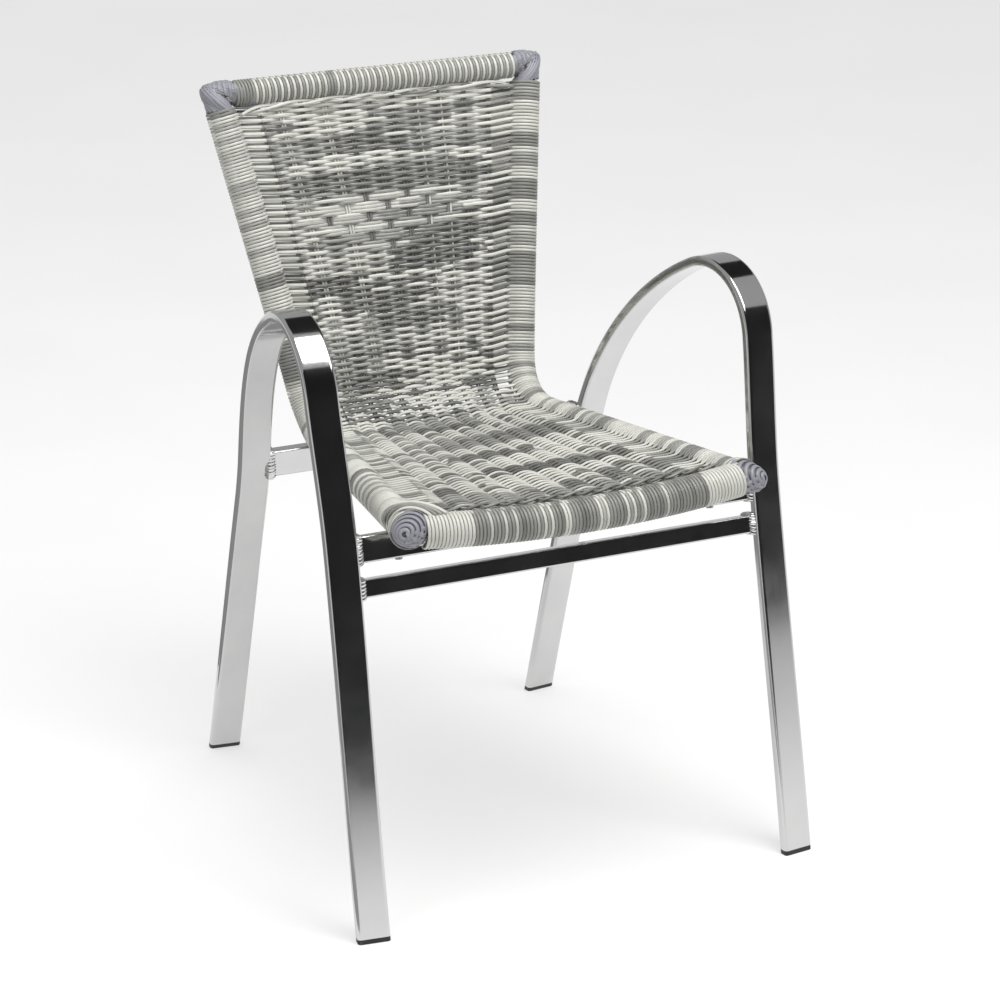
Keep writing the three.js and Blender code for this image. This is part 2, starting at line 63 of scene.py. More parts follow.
# The floor: one sheet of matt pale board that runs out of sight, lit from below like a light table. It
# is part of the studio and not of the chair. The small class that writes every finish comes first.
class Wire:
    """One socket of a shader, with the arithmetic that the finishes use."""

    def __init__(self, tree, socket):
        self.tree, self.socket = tree, socket

    def node(self, kind, settings=None, **values):
        made = self.tree.nodes.new(kind)
        for name, value in (settings or {}).items():
            if name == "stops":
                for stop in range(len(value) - 2):
                    made.color_ramp.elements.new(0.5)
                for stop, (place, colour) in zip(made.color_ramp.elements, value):
                    stop.position, stop.color = place, (*colour, 1)
            else:
                setattr(made, name, value)
        for name, value in values.items():
            at = int(name[1:]) if name[0] == "_" else name.replace("_", " ")
            if isinstance(value, Wire):
                self.tree.links.new(value.socket, made.inputs[at])
            else:
                made.inputs[at].default_value = value
        return made

    def take(self, kind, output, settings=None, **values):
        return Wire(self.tree, self.node(kind, settings, **values).outputs[output])

    def sum_of(self, operation, first, second=0.0):
        return self.take("ShaderNodeMath", 0, {"operation": operation}, _0=first, _1=second)

    def __add__(self, other):
        return self.sum_of("ADD", self, other)

    def __radd__(self, other):
        return self.sum_of("ADD", other, self)

    def __sub__(self, other):
        return self.sum_of("SUBTRACT", self, other)

    def __rsub__(self, other):
        return self.sum_of("SUBTRACT", other, self)

    def __mul__(self, other):
        return self.sum_of("MULTIPLY", self, other)

    def __rmul__(self, other):
        return self.sum_of("MULTIPLY", other, self)

    def mixed(self, low, high):
        return self.take("ShaderNodeMix", 2, {"data_type": "RGBA"}, _0=self, _6=low, _7=high)


def finish_of(name, build):
    """A material whose surface is made by build, from a wire and the shader's own sockets."""
    material = bpy.data.materials.new(name)
    material.use_nodes = True
    shader = material.node_tree.nodes["Principled BSDF"]
    start = Wire(material.node_tree, None)
    for socket, value in build(start).items():
        if isinstance(value, Wire):
            material.node_tree.links.new(value.socket, shader.inputs[socket])
        else:
            shader.inputs[socket].default_value = value
    return material


def matt_board(wire):
    place = wire.take("ShaderNodeTexCoord", "Object")
    mottle = wire.take("ShaderNodeTexNoise", "Fac", Vector=place, Scale=3.0, Detail=3.0)
    return {
        "Base Color": mottle.mixed((0.39, 0.39, 0.39, 1), (0.42, 0.42, 0.42, 1)),
        "Roughness": 0.7,
        "Emission Color": mottle.mixed((0.96, 0.96, 0.96, 1), (1.0, 1.0, 1.0, 1)),
        "Emission Strength": 0.57,
    }


floor_reach = 30
board = bmesh.new()
bmesh.ops.create_grid(board, x_segments=8, y_segments=8, size=floor_reach)
floor_mesh = bpy.data.meshes.new("studio_floor")
board.to_mesh(floor_mesh)
board.free()
floor = bpy.data.objects.new("studio_floor", floor_mesh)
bpy.context.scene.collection.objects.link(floor)
floor_mesh.materials.append(finish_of("matt_board", matt_board))


# The studio light: a long soft box overhead at the right, which draws the white marks on the polished
# arches, two weaker ones that the metal doesn't mirror, and pale light from all round. Flags, which are
# cloths on frames, make the metal's dark faces.
room = bpy.data.worlds.new("pale_room")
room.use_nodes = True
room.node_tree.nodes["Background"].inputs["Color"].default_value = (1, 1, 1, 1)
room.node_tree.nodes["Background"].inputs["Strength"].default_value = 0.42
bpy.context.scene.world = room
bpy.context.scene.view_settings.view_transform = "Standard"
middle_of_chair = Vector((0, 0, 0.45))


def aimed(thing, spot):
    thing.location = spot
    thing.rotation_euler = (middle_of_chair - Vector(spot)).to_track_quat("-Z", "Y").to_euler()
    bpy.context.scene.collection.objects.link(thing)
    return thing


def soft_box(name, spot, width, height, power, mirrored_in_metal):
    light = bpy.data.lights.new(name, "AREA")
    light.shape = "RECTANGLE"
    light.size, light.size_y, light.energy = width, height, power
    aimed(bpy.data.objects.new(name, light), spot).visible_glossy = mirrored_in_metal


soft_box("key_box", (0.60, -0.95, 2.86), width=1.15, height=2.2, power=54, mirrored_in_metal=True)
soft_box("overhead_box", (-0.3, -0.3, 3.0), width=2.2, height=1.8, power=38, mirrored_in_metal=False)
soft_box("left_box", (-3.0, -1.8, 1.9), width=1.6, height=2.2, power=28, mirrored_in_metal=False)


def cloth_of(name, tone):
    """Matt cloth of one grey, a little uneven."""
    def flag_cloth(wire):
        place = wire.take("ShaderNodeTexCoord", "Object")
        weave = wire.take("ShaderNodeTexNoise", "Fac", Vector=place, Scale=40.0, Detail=2.0)
        pale = tone * 1.2
        return {"Base Color": weave.mixed((tone, tone, tone, 1), (pale, pale, pale, 1)), "Roughness": 0.9}

    return finish_of(name, flag_cloth)


def flag(name, spot, width, height, cloth, lying=False):
    """A cloth on a frame, which only polished metal sees."""
    bm = bmesh.new()
    bmesh.ops.create_grid(bm, x_segments=2, y_segments=2, size=0.5)
    bmesh.ops.scale(bm, vec=(width, height, 1), verts=bm.verts)
    mesh = bpy.data.meshes.new(name)
    bm.to_mesh(mesh)
    bm.free()
    mesh.materials.append(cloth)
    hung = aimed(bpy.data.objects.new(name, mesh), spot)
    if lying:
        hung.rotation_euler = (0, 0, 0)
    hung.visible_camera = hung.visible_diffuse = hung.visible_shadow = False


black_cloth, grey_cloth = cloth_of("black_cloth", 0.005), cloth_of("grey_cloth", 0.26)
flag("front_flag", (0.4, -4.4, 2.2), 9.0, 4.6, black_cloth)
flag("back_flag", (1.32, 1.32, 3.1), 2.2, 2.2, black_cloth)
flag("left_ground_cloth", (-1.70, -0.05, 0.002), 2.7, 3.9, grey_cloth, lying=True)
flag("rear_ground_cloth", (-0.10, 1.20, 0.002), 0.5, 1.4, grey_cloth, lying=True)


# Loops: flat aluminium tube, bent on a machine into front leg, armrest and rear leg, and polished. The
# straight stock is drawn first and then bent along its path, as on the bench.
def rounded_bar(bm, width, depth, corner, margin=0.0004):
    """The outline of a flat tube, with a narrow facet beside each corner that keeps its flats flat."""
    bmesh.ops.create_grid(bm, x_segments=1, y_segments=1, size=0.5)
    bmesh.ops.scale(bm, vec=(width, depth, 1), verts=bm.verts)
    bmesh.ops.bevel(
        bm, geom=bm.verts[:], offset=corner, segments=4, profile=0.5, affect="VERTICES", material=-1
    )
    for half, way in ((width / 2, (1, 0, 0)), (depth / 2, (0, 1, 0))):
        for side in (-1, 1):
            at = Vector(way) * side * (half - corner - margin)
            geom = bm.verts[:] + bm.edges[:] + bm.faces[:]
            bmesh.ops.bisect_plane(bm, geom=geom, plane_co=at, plane_no=way)


def stock(steps, outline, *sizes):
    """A straight bar of unit length over an outline, marked across into steps for bending."""
    bm = bmesh.new()
    outline(bm, *sizes)
    raised = bmesh.ops.extrude_face_region(bm, geom=bm.faces[:])["geom"]
    raised = [part for part in raised if isinstance(part, bmesh.types.BMVert)]
    bmesh.ops.translate(bm, verts=raised, vec=(0, 0, 1))
    lengthwise = [edge for edge in bm.edges if abs(edge.verts[0].co.z - edge.verts[1].co.z) > 0.5]
    bmesh.ops.subdivide_edges(bm, edges=lengthwise, cuts=steps - 1, use_grid_fill=True)
    bmesh.ops.recalc_face_normals(bm, faces=bm.faces)
    mesh = bpy.data.meshes.new("stock")
    bm.to_mesh(mesh)
    bm.free()
    return mesh


def corners_of(mesh):
    at = np.empty(3 * len(mesh.vertices))
    mesh.vertices.foreach_get("co", at)
    return at.reshape(-1, 3)


def moved_to(mesh, at):
    mesh.vertices.foreach_set("co", np.asarray(at, np.float32).ravel())
    mesh.update()
    return mesh


def fitted(name, mesh, material, slot, *nodes):
    """A finished mesh becomes a piece of the chair, in the place of the solids that it stands for."""
    mesh.name = name
    mesh.materials.append(material)
    mesh.shade_smooth()
    piece = bpy.data.objects.new(name, mesh)
    bpy.context.scene.collection.objects.link(piece)
    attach(piece, "root")
    if nodes:
        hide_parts(*nodes)


class SidePath:
    """A bent path in the side view. A heading of zero is straight up, a positive one leans back."""

    def __init__(self, y, z, heading, pieces):
        self.stretches, start = [], 0.0
        for length, radius, bend in pieces:
            run = length if radius is None else radius * abs(bend)
            curl = 0.0 if radius is None else bend / run
            self.stretches.append((y, z, heading, start, run, curl))
            y, z, heading = (float(v) for v in self.along(self.stretches[-1], run))
            start += run
        self.length = start

    @staticmethod
    def along(stretch, run):
        y, z, heading, _, _, curl = stretch
        turned = heading + curl * run
        if curl == 0:
            return y + run * math.sin(heading), z + run * math.cos(heading), turned + 0 * run
        return (
            y + (math.cos(heading) - np.cos(turned)) / curl,
            z + (np.sin(turned) - math.sin(heading)) / curl,
            turned,
        )

    def at(self, distance):
        distance = np.asarray(distance, float)
        found = np.zeros((3, *distance.shape))
        for number, stretch in enumerate(self.stretches):
            here = distance >= stretch[3] if number else np.ones(distance.shape, bool)
            spots = self.along(stretch, distance - stretch[3])
            found = np.where(here, np.stack([s + 0 * distance for s in spots]), found)
        return found

    def marks(self, counts, overrun=0.0):
        """Distances along the path: so many steps on each stretch, run on a little at both ends."""
        rows = [np.linspace(s[3], s[3] + s[4], n, endpoint=False) for s, n in zip(self.stretches, counts)]
        return np.concatenate([[-overrun] * bool(overrun), *rows, [self.length + overrun]])


class BentTube:
    """A tube's centre line in space: its side path, its distance from the middle, and its level side."""

    def __init__(self, path, spread, level_side):
        self.path, self.spread, self.level_side = path, spread, np.asarray(level_side, float)

    def centre(self, distance):
        y, z, _ = self.path.at(distance)
        return np.stack([self.spread(distance) + 0 * y, y, z], -1)

    def ways(self, distance):
        step = 0.0003
        along = self.centre(distance + step) - self.centre(distance - step)
        along /= np.linalg.norm(along, axis=-1, keepdims=True)
        across = self.level_side - along * (along @ self.level_side)[..., None]
        across /= np.linalg.norm(across, axis=-1, keepdims=True)
        return along, across, np.cross(along, across)

    def place(self, distance, sideways, through):
        _, across, out = self.ways(distance)
        return self.centre(distance) + across * sideways[..., None] + out * through[..., None]

    def bend(self, mesh, marks):
        at = corners_of(mesh)
        distance = marks[np.rint(at[:, 2] * (len(marks) - 1)).astype(int)]
        return moved_to(mesh, self.place(distance, at[:, 0], at[:, 1]))


def mirrored(mesh):
    """A copy of a mesh on the chair's other side, with its faces pointing outwards again."""
    bm = bmesh.new()
    bm.from_mesh(mesh)
    bmesh.ops.scale(bm, vec=(-1, 1, 1), verts=bm.verts)
    bmesh.ops.reverse_faces(bm, faces=bm.faces)
    copy = bpy.data.meshes.new("mirrored")
    bm.to_mesh(copy)
    bm.free()
    return copy


def sawn(mesh, *cuts):
    """A mesh sawn off at planes, each given by a point and the way the waste lies, and closed there."""
    bm = bmesh.new()
    bm.from_mesh(mesh)
    for point, waste in cuts:
        geom = bm.verts[:] + bm.edges[:] + bm.faces[:]
        bmesh.ops.bisect_plane(bm, geom=geom, plane_co=point, plane_no=waste, clear_outer=True)
        bmesh.ops.holes_fill(bm, edges=[edge for edge in bm.edges if edge.is_boundary])
    bm.to_mesh(mesh)
    bm.free()
    mesh.set_sharp_from_angle(angle=math.radians(50))
    return mesh


def polished_aluminium(wire):
    place = wire.take("ShaderNodeTexCoord", "Object")
    stretched = wire.take("ShaderNodeMapping", 0, Vector=place, Scale=(900.0, 60.0, 60.0))
    buffing = wire.take("ShaderNodeTexNoise", "Fac", Vector=stretched, Scale=1.0, Detail=3.0)
    handling = wire.take("ShaderNodeTexNoise", "Fac", Vector=place, Scale=22.0, Detail=4.0)
    haze = buffing * 0.05 + handling * 0.10
    swell = wire.take("ShaderNodeTexNoise", "Fac", Vector=place, Scale=7.0, Detail=1.0)
    bump = wire.take("ShaderNodeBump", 0, Strength=0.10, Distance=0.002, Height=swell + buffing * 0.02)
    return {
        "Base Color": handling.mixed((0.57, 0.57, 0.58, 1), (0.67, 0.67, 0.66, 1)),
        "Metallic": 1.0,
        "Roughness": haze * 0.7 + 0.05,
        "Normal": bump,
    }


loop_width, loop_depth, loop_corner = 0.036, 0.0115, 0.0035
set_forward = 0.011016
front_foot = -0.273 - set_forward
front_lean, hand_bend, rear_sweep = (math.radians(turn) for turn in (12.4, 103.8, 47.5))
front_leg_length, rear_leg_length = 0.574, 0.420697
hand_radius, sweep_radius = 0.081, 0.344
upper_bar_middle = 0.4026
loop_path = SidePath(front_foot, 0, front_lean, [
    (front_leg_length, None, 0),
    (0, hand_radius, hand_bend),
    (0, sweep_radius, rear_sweep),
    (rear_leg_length, None, 0),
])
loop_places = [
    (0, 0.256),
    (upper_bar_middle / math.cos(front_lean), 0.2515),
    (front_leg_length + 0.026, 0.2575),
    (loop_path.length - 0.357, 0.209),
    (loop_path.length, 0.207),
]


def loop_spread(distance):
    spread = np.full(np.shape(distance), loop_places[0][1])
    for (start, low), (end, top) in zip(loop_places, loop_places[1:]):
        share = np.clip((distance - start) / (end - start), 0, 1)
        spread = spread + (top - low) * share * share * (3 - 2 * share)
    return spread


toe = math.radians(7)
loop_line = BentTube(loop_path, loop_spread, (math.cos(toe), math.sin(toe), 0))
loop_marks = loop_path.marks((30, 44, 40, 30), overrun=0.03)
polish = finish_of("polished_aluminium", polished_aluminium)
plug_flange = 0.005
gap = 0.0003
flat_tube = stock(len(loop_marks) - 1, rounded_bar, loop_width, loop_depth, loop_corner)
left_loop = loop_line.bend(flat_tube, loop_marks)
sawn(left_loop, ((0, 0, plug_flange + gap), (0, 0, -1)))
fitted("polished_loop_right", mirrored(left_loop), polish, "polished_aluminium", "right_loop")
fitted("polished_loop_left", left_loop, polish, "polished_aluminium", "left_loop")


# Foot plugs: moulded black plastic, pressed into the sawn tube ends. Only the flange shows, as wide as
# the tube and rounded where it meets the floor.
def moulded_black(wire):
    place = wire.take("ShaderNodeTexCoord", "Object")
    grain = wire.take("ShaderNodeTexNoise", "Fac", Vector=place, Scale=900.0, Detail=2.0)
    scuffs = wire.take("ShaderNodeTexNoise", "Fac", Vector=place, Scale=60.0, Detail=5.0)
    return {
        "Base Color": scuffs.mixed((0.010, 0.010, 0.011, 1), (0.035, 0.035, 0.036, 1)),
        "Roughness": scuffs * 0.25 + 0.38,
        "Normal": wire.take("ShaderNodeBump", 0, Strength=0.25, Distance=0.0004, Height=grain),
    }


black_moulding = finish_of("moulded_black", moulded_black)
rim_round = 0.0009
around_foot = np.linspace(-0.03, 0.03, 3)
for end, marks in (("front", around_foot), ("rear", loop_path.length + around_foot)):
    flange = loop_line.bend(stock(2, rounded_bar, loop_width, loop_depth, loop_corner), marks)
    sawn(flange, ((0, 0, 0), (0, 0, -1)), ((0, 0, plug_flange), (0, 0, 1)))
    rim = bmesh.new()
    rim.from_mesh(flange)
    under = [e for e in rim.edges if len(e.link_faces) == 2 and abs(e.calc_face_angle(0)) > 0.8]
    under = [e for e in under if max(v.co.z for v in e.verts) < 0.0001]
    bmesh.ops.bevel(
        rim, geom=under, offset=rim_round, segments=2, profile=0.5, affect="EDGES", material=-1
    )
    rim.to_mesh(flange)
    rim.free()
    fitted(f"plug_{end}_right", mirrored(flange), black_moulding, "black_plug", f"right_{end}_foot_plug")
    fitted(f"plug_{end}_left", flange, black_moulding, "black_plug", f"left_{end}_foot_plug")


# Crossbars: rectangular aluminium tube, sawn to the loops' inner sides. Two lie in front, one over the
# other, and the third joins the rear legs under the bend of the seat.
def satin_aluminium(wire):
    place = wire.take("ShaderNodeTexCoord", "Object")
    drawn = wire.take("ShaderNodeMapping", 0, Vector=place, Scale=(20.0, 800.0, 800.0))
    lines = wire.take("ShaderNodeTexNoise", "Fac", Vector=drawn, Scale=1.0, Detail=4.0)
    stains = wire.take("ShaderNodeTexNoise", "Fac", Vector=place, Scale=18.0, Detail=4.0)
    return {
        "Base Color": stains.mixed((0.56, 0.56, 0.57, 1), (0.68, 0.68, 0.68, 1)),
        "Metallic": 1.0,
        "Roughness": lines * 0.12 + 0.16,
        "Normal": wire.take("ShaderNodeBump", 0, Strength=0.12, Distance=0.0003, Height=lines),
    }


satin = finish_of("satin_aluminium", satin_aluminium)
bar_corner = 0.0015
front_bar_depth, front_bar_set_back = 0.015, 0.0052
upper_bar_high, lower_bar_high, rear_bar_high = 0.028, 0.0192, 0.029
front_bar_pitch = 0.0411
arch_top = 0.68


def leg_distance(height, rear):
    """Where on the loop its leg is so high."""
    low, top = (loop_path.length if rear else 0.0), arch_top
    for _ in range(40):
        middle = (low + top) / 2
        if float(loop_path.at(middle)[1]) < height:
            low = middle
        else:
            top = middle
    return low


def front_bar(middle, high):
    """A front bar lies behind the middle of its leg and leans as the leg does."""
    y, z, _ = loop_path.at(leg_distance(middle, False))
    y = float(y) + front_bar_set_back * math.cos(front_lean)
    z = float(z) - front_bar_set_back * math.sin(front_lean)
    return y, z, high, front_bar_depth, front_lean


bars = {
    "upper_front_bar": front_bar(upper_bar_middle, upper_bar_high),
    "lower_front_bar": front_bar(upper_bar_middle - front_bar_pitch * math.cos(front_lean), lower_bar_high),
    "rear_bar": (0.149680 - set_forward, 0.386163, rear_bar_high, 0.016, 0.0),
}


def across_bar(bar, behind, above):
    """Y and Z of a spot in a bar's section, from how far behind and above its middle it is."""
    y, z, _, _, lean = bar
    return (
        y + behind * math.cos(lean) + above * math.sin(lean),
        z - behind * math.sin(lean) + above * math.cos(lean),
    )


for node, bar in bars.items():
    _, middle, high, deep, _ = bar
    tube = stock(2, rounded_bar, deep, high, bar_corner)
    at = corners_of(tube)
    y, z = across_bar(bar, at[:, 0], at[:, 1])
    moved_to(tube, np.stack([(at[:, 2] - 0.5) * 0.6, y, z], -1))
    reach = np.array(leg_distance(middle, node == "rear_bar"))
    edge = loop_line.place(reach, np.array(-loop_width / 2 - gap), np.array(0.0))
    side = loop_line.ways(reach)[1]
    flip = np.array([-1, 1, 1])
    sawn(tube, (edge, side), (edge * flip, side * flip))
    fitted(f"crossbar_{node}", tube, satin if node == "rear_bar" else polish, "satin_aluminium", node)


# Welds: a bead of filler metal run round each end of each crossbar, left as it cooled, in small
# overlapping ripples. It is brighter than the satin of the bar.
def weld_bead(wire):
    place = wire.take("ShaderNodeTexCoord", "Object")
    soot = wire.take("ShaderNodeTexNoise", "Fac", Vector=place, Scale=160.0, Detail=4.0)
    return {
        "Base Color": soot.mixed((0.52, 0.52, 0.53, 1), (0.92, 0.92, 0.91, 1)),
        "Metallic": 1.0,
        "Roughness": soot * 0.2 + 0.12,
        "Normal": wire.take("ShaderNodeBump", 0, Strength=0.3, Distance=0.0006, Height=soot),
    }


bead_metal = finish_of("weld_bead", weld_bead)
ripple = 0.0032
bead_high, bead_long = 0.0031, 0.0062


def bead_ring(steps):
    """A closed ring of round rod, turned round the Z axis, for bending round a bar."""
    bm = bmesh.new()
    bmesh.ops.create_circle(bm, cap_ends=False, radius=0.25, segments=10)
    bmesh.ops.rotate(bm, verts=bm.verts, matrix=Matrix.Rotation(math.pi / 2, 3, "X"))
    bmesh.ops.translate(bm, verts=bm.verts, vec=(1, 0, 0))
    geom = bm.verts[:] + bm.edges[:]
    bmesh.ops.spin(
        bm, geom=geom, axis=(0, 0, 1), cent=(0, 0, 0), angle=2 * math.pi, steps=steps, use_merge=True
    )
    bmesh.ops.remove_doubles(bm, verts=bm.verts, dist=1e-5)
    bmesh.ops.recalc_face_normals(bm, faces=bm.faces)
    mesh = bpy.data.meshes.new("bead_ring")
    bm.to_mesh(mesh)
    bm.free()
    return mesh


for node, bar in bars.items():
    _, middle, high, deep, _ = bar
    reach = np.array(leg_distance(middle, node == "rear_bar"))
    edge = loop_line.place(reach, np.array(-loop_width / 2), np.array(0.0))
    side = loop_line.ways(reach)[1]
    ring = bead_ring(168)
    at = corners_of(ring)
    angle = np.arctan2(at[:, 1], at[:, 0])
    outward = (np.hypot(at[:, 0], at[:, 1]) - 1) * 4
    inward = at[:, 2] * 4
    half_deep, half_high = deep / 2, high / 2
    corners = np.cumsum([0, half_high, 2 * half_deep, 2 * half_high, 2 * half_deep, half_high])
    run = (angle / (2 * math.pi)) % 1 * corners[-1]
    behind = np.interp(run, corners, [half_deep, half_deep, -half_deep, -half_deep, half_deep, half_deep])
    above = np.interp(run, corners, [0, half_high, half_high, -half_high, -half_high, 0])
    lap = (run + 0.0011 * inward ** 2) / ripple
    swell = 0.74 + 0.30 * np.abs(np.sin(np.pi * lap)) + 0.08 * np.sin(run * 700) * np.sin(run * 310)
    behind = behind + np.cos(angle) * outward * swell * bead_high
    above = above + np.sin(angle) * outward * swell * bead_high
    y, z = across_bar(bar, behind, above)
    x_wall = edge[0] - (side[1] * (y - edge[1]) + side[2] * (z - edge[2])) / side[0]
    x = x_wall - inward * swell * bead_long
    moved_to(ring, np.stack([x, y, z], -1))
    fitted(f"bead_{node}_right", mirrored(ring), bead_metal, "weld_aluminium", f"right_{node}_weld")
    fitted(f"bead_{node}_left", ring, bead_metal, "weld_aluminium", f"left_{node}_weld")


# Screws and rails: steel screws come up through the crossbars into the side rails. The rails are round
# aluminium tube under the cane, and keep their solids.
for node in ("left_side_rail", "right_side_rail", "front_rail", "top_rail"):
    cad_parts[node].data.materials.clear()
    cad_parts[node].data.materials.append(satin)


def plated_steel(wire):
    place = wire.take("ShaderNodeTexCoord", "Object")
    wear = wire.take("ShaderNodeTexNoise", "Fac", Vector=place, Scale=400.0, Detail=4.0)
    return {
        "Base Color": wear.mixed((0.42, 0.42, 0.43, 1), (0.62, 0.62, 0.62, 1)),
        "Metallic": 1.0,
        "Roughness": wear * 0.25 + 0.2,
        "Normal": wire.take("ShaderNodeBump", 0, Strength=0.2, Distance=0.0003, Height=wear),
    }


plating = finish_of("plated_steel", plated_steel)
for node in ("left_front_screw", "right_front_screw", "left_rear_screw", "right_rear_screw"):
    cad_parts[node].data.materials.clear()
    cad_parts[node].data.materials.append(plating)


# The woven seat and back: one strand of flat plastic cane after another crosses the chair over and under
# double stakes, takes two turns round the side rail, and comes back beside itself. The strand is dyed
# in lengths of white, pale grey, mid grey and dark grey.
cane_width, cane_thick = 0.0039, 0.0022
row_step = 0.00375
rail_front = (-0.233704 - set_forward, 0.434211)
slope, recline = math.radians(3.8), math.radians(18)
bend_turn = math.pi / 2 + slope - recline
seat_side, seat_bend, upright = 0.347351, 0.070, 0.327
rail_path = SidePath(*rail_front, math.pi / 2 + slope, [
    (seat_side, None, 0),
    (0, seat_bend, -bend_turn),
    (upright, None, 0),
])
waist_at = seat_side + seat_bend * bend_turn / 2
half_front, half_waist, half_top = 0.1953, 0.1335, 0.1917
waist_blend = 0.030
front_bow, front_sag = 0.011, 0.008
bow_from, bow_to = 0.0197, 0.16
sheet_lift, sheet_dish = 0.0055, 0.004


def soft(distance):
    return np.hypot(distance, waist_blend) - waist_blend


def rail_spread(distance):
    past = np.asarray(distance) - waist_at
    ahead = half_waist + (half_front - half_waist) * soft(past) / soft(waist_at)
    above = half_waist + (half_top - half_waist) * soft(past) / soft(rail_path.length - waist_at)
    return np.where(past < 0, ahead, above)


rail_line = BentTube(rail_path, rail_spread, (1, 0, 0))
wind_radius = 0.0176
stake_count = 11
columns = 2 * np.arange(1, stake_count + 1) / (stake_count + 1) - 1


def sheet(distance, side, height):
    """A point of the woven sheet: so far along the rails, so far to the side, and so high over it."""
    y, z, heading = rail_path.at(distance)
    rise = sheet_lift - sheet_dish * (1 - side * side) + height
    x = side * (rail_spread(distance) - wind_radius)
    return np.stack([x + 0 * y, y - rise * np.cos(heading), z + rise * np.sin(heading)], -1)


def sheet_normal(distance):
    _, _, heading = rail_path.at(distance)
    return np.stack([0 * heading, -np.cos(heading), np.sin(heading)], -1)


def eased(value, low, high):
    share = np.clip((value - low) / (high - low), 0, 1)
    return share * share * (3 - 2 * share)


def row_at(distance, side):
    """The rows follow the bow of the front rail, and straighten further back."""
    bow = front_bow * (1 - eased(distance, bow_from, bow_to))
    return distance - bow * (1 - side * side)


def hermite(start, start_way, end, end_way, share):
    a, b = share[:, None], share[:, None] ** 2
    c = share[:, None] ** 3
    return (
        (2 * c - 3 * b + 1) * start[:, None]
        + (c - 2 * b + a) * start_way[:, None]
        + (3 * b - 2 * c) * end[:, None]
        + (c - b) * end_way[:, None]
    )


first_row, last_row = 0.0172, 0.7532
row_pairs = int((last_row - first_row) / (2 * row_step))
rows = first_row + (last_row - first_row) * np.arange(row_pairs) / row_pairs
row_pitch = (last_row - first_row) / row_pairs / 2
steps_a_column = 8
across = np.linspace(columns[0], columns[-1], steps_a_column * (stake_count - 1) + 1)
column_of = np.linspace(0, stake_count - 1, len(across))
drift_share, top_drift_share = 0.018, 0.040
drift_from, drift_to = 0.62, 0.745


def drift(distance, side):
    """The weaver let the stakes wander a little to the chair's right, most of all near the top."""
    near_top = eased(distance, drift_from, drift_to)
    return -drift_share * (1 - side ** 4) - top_drift_share * (1 - side * side) * near_top


# Groups of three rows pass the stakes together in a small lozenge in the middle of the back. Each set
# holds the stakes that a group leaves bare, from the lowest group to the highest.
lozenge_low = 0.5785
lozenge_rows = [{6}, {5, 7}, {4, 6, 8}, {3, 5, 7, 9}, {4, 6, 8}, {5, 7}]


def passes(distances, strand):
    """For each row and stake, 1 where the strand lies over the stake and -1 where it goes under it."""
    over = np.empty((len(distances), stake_count))
    for number, distance in enumerate(distances):
        group = math.floor((distance - lozenge_low) / (3 * row_pitch))
        for stake in range(1, stake_count + 1):
            front = (stake + strand) % 2 == 1
            if 0 <= group < len(lozenge_rows):
                bare = lozenge_rows[group]
                if min(bare) - 1 <= stake <= max(bare) + 1:
                    front = stake not in bare
            over[number, stake - 1] = 1 if front else -1
    return over


def from_stake_to_stake(values):
    """Values given for each row at each stake, eased from one stake to the next."""
    left = np.clip(np.floor(column_of).astype(int), 0, stake_count - 2)
    ease = (1 - np.cos(np.pi * (column_of - left))) / 2
    return values[:, left] * (1 - ease) + values[:, left + 1] * ease


def scatter(*numbers):
    """A repeatable number from 0 to 1 for whole numbers, for what varies without a plan."""
    mixed = sum(np.asarray(n, np.int64) * k for n, k in zip(numbers, (374761393, 668265263, 974634777)))
    mixed = (mixed ^ (mixed >> 13)) * 1274126177 & 0xFFFFFFFF
    return ((mixed ^ (mixed >> 16)) & 0xFFFF) / 65535


wander_most = 0.0006
seat_depth, back_depth = 0.0035, 0.0022
over_spread, turn_spread = 0.26, 0.94


def weft(distances, strand):
    """Rows of one strand across the sheet, from the chair's right to its left: their centre lines,
    their outer sides, and how much the strand spreads where it lies over a stake."""
    number = np.rint(distances / row_pitch).astype(int)[:, None]
    wander = wander_most * (scatter(number, np.arange(stake_count)[None], 41) - 0.5)
    height = from_stake_to_stake(passes(distances, strand))
    along = row_at(distances[:, None], across[None]) + from_stake_to_stake(wander)
    side = across[None] + drift(along, across[None])
    depth = seat_depth - (seat_depth - back_depth) * eased(distances, seat_side, waist_at + 0.04)
    spread = 1 + over_spread * np.clip(height, 0, 1)
    return sheet(along, side, height * depth[:, None]), sheet_normal(along), spread


seat_turn_in, back_turn_in, turn_out = (math.radians(turn) for turn in (141, 161, -518))
shift_from, shift_to = math.radians(40), math.radians(150)
seat_reach, back_reach = 0.7, 0.4
entry = np.linspace(0, 1, 7)[1:-1]


def into_back(distances):
    """How far each row has left the seat for the back, from 0 to 1."""
    return eased(distances, seat_side, waist_at + 0.05)[:, None]


def wraps(distances, shift):
    """Two turns round the left rail, from over it to under it, moving along it by a shift."""
    turn_in = seat_turn_in + (back_turn_in - seat_turn_in) * into_back(distances)
    turns = turn_in + (turn_out - turn_in) * np.linspace(0, 1, 33)
    at = distances[:, None] + shift * eased(-turns, shift_from, shift_to)
    _, out, up = rail_line.ways(at)
    up = -up
    radius = wind_radius - cane_thick / 2
    away = out * np.cos(turns)[..., None] + up * np.sin(turns)[..., None]
    return rail_line.centre(at) + away * radius, away, np.full(at.shape, turn_spread)


